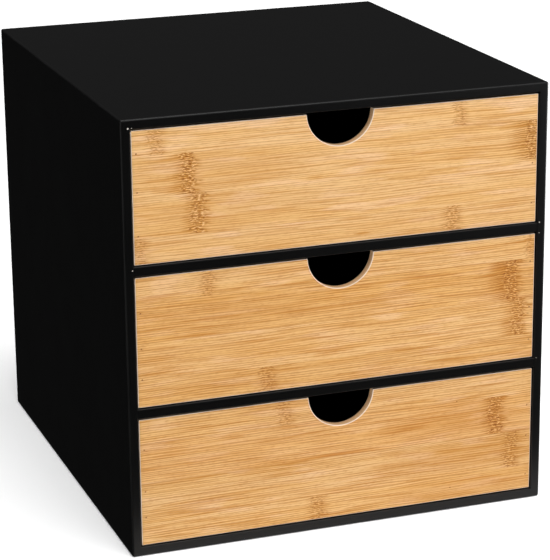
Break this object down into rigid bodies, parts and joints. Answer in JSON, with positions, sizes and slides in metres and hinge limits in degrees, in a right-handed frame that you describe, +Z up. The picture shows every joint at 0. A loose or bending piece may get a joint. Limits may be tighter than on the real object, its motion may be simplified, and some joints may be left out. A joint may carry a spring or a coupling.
{
  "type": "desktop drawer cabinet",
  "caption": "Black desktop cabinet with a stack of inset wooden-front drawers; each front has a half-round finger notch in its top edge and slides on plain boards.",
  "frame": {"origin": "middle of the cabinet's underside, where it rests on the desk", "axes": "+Z up; -Y out of the front, the way the drawers open; +X to the right as seen from the front"},
  "size_m": [0.25, 0.27, 0.25],
  "materials": {
    "black_painted_board": "satin black paint on fibreboard",
    "bamboo": "flat-laminated natural bamboo, sanded, clear satin lacquer",
    "nail_steel": "plain bright wire nails"
  },
  "bodies": {
    "cabinet": {"top_board": "black_painted_board", "bottom_board": "black_painted_board", "left_side_board": "black_painted_board", "right_side_board": "black_painted_board", "upper_shelf": "black_painted_board", "lower_shelf": "black_painted_board", "back_panel": "black_painted_board", "corner_nails": "nail_steel", "shelf_nails": "nail_steel", "back_panel_nails": "nail_steel"},
    "lower_drawer": {"lower_drawer_front": "bamboo", "lower_drawer_left_side": "black_painted_board", "lower_drawer_right_side": "black_painted_board", "lower_drawer_back": "black_painted_board", "lower_drawer_bottom": "black_painted_board", "lower_drawer_front_nails": "nail_steel", "lower_drawer_back_nails": "nail_steel"},
    "middle_drawer": {"middle_drawer_front": "bamboo", "middle_drawer_left_side": "black_painted_board", "middle_drawer_right_side": "black_painted_board", "middle_drawer_back": "black_painted_board", "middle_drawer_bottom": "black_painted_board", "middle_drawer_front_nails": "nail_steel", "middle_drawer_back_nails": "nail_steel"},
    "upper_drawer": {"upper_drawer_front": "bamboo", "upper_drawer_left_side": "black_painted_board", "upper_drawer_right_side": "black_painted_board", "upper_drawer_back": "black_painted_board", "upper_drawer_bottom": "black_painted_board", "upper_drawer_front_nails": "nail_steel", "upper_drawer_back_nails": "nail_steel"}
  },
  "joints": [
    {"name": "lower_drawer_slide", "type": "slide", "parent": "cabinet", "child": "lower_drawer", "axis": [0, -1, 0], "range_m": [0, 0.2]},
    {"name": "middle_drawer_slide", "type": "slide", "parent": "cabinet", "child": "middle_drawer", "axis": [0, -1, 0], "range_m": [0, 0.2]},
    {"name": "upper_drawer_slide", "type": "slide", "parent": "cabinet", "child": "upper_drawer", "axis": [0, -1, 0], "range_m": [0, 0.2]}
  ]
}
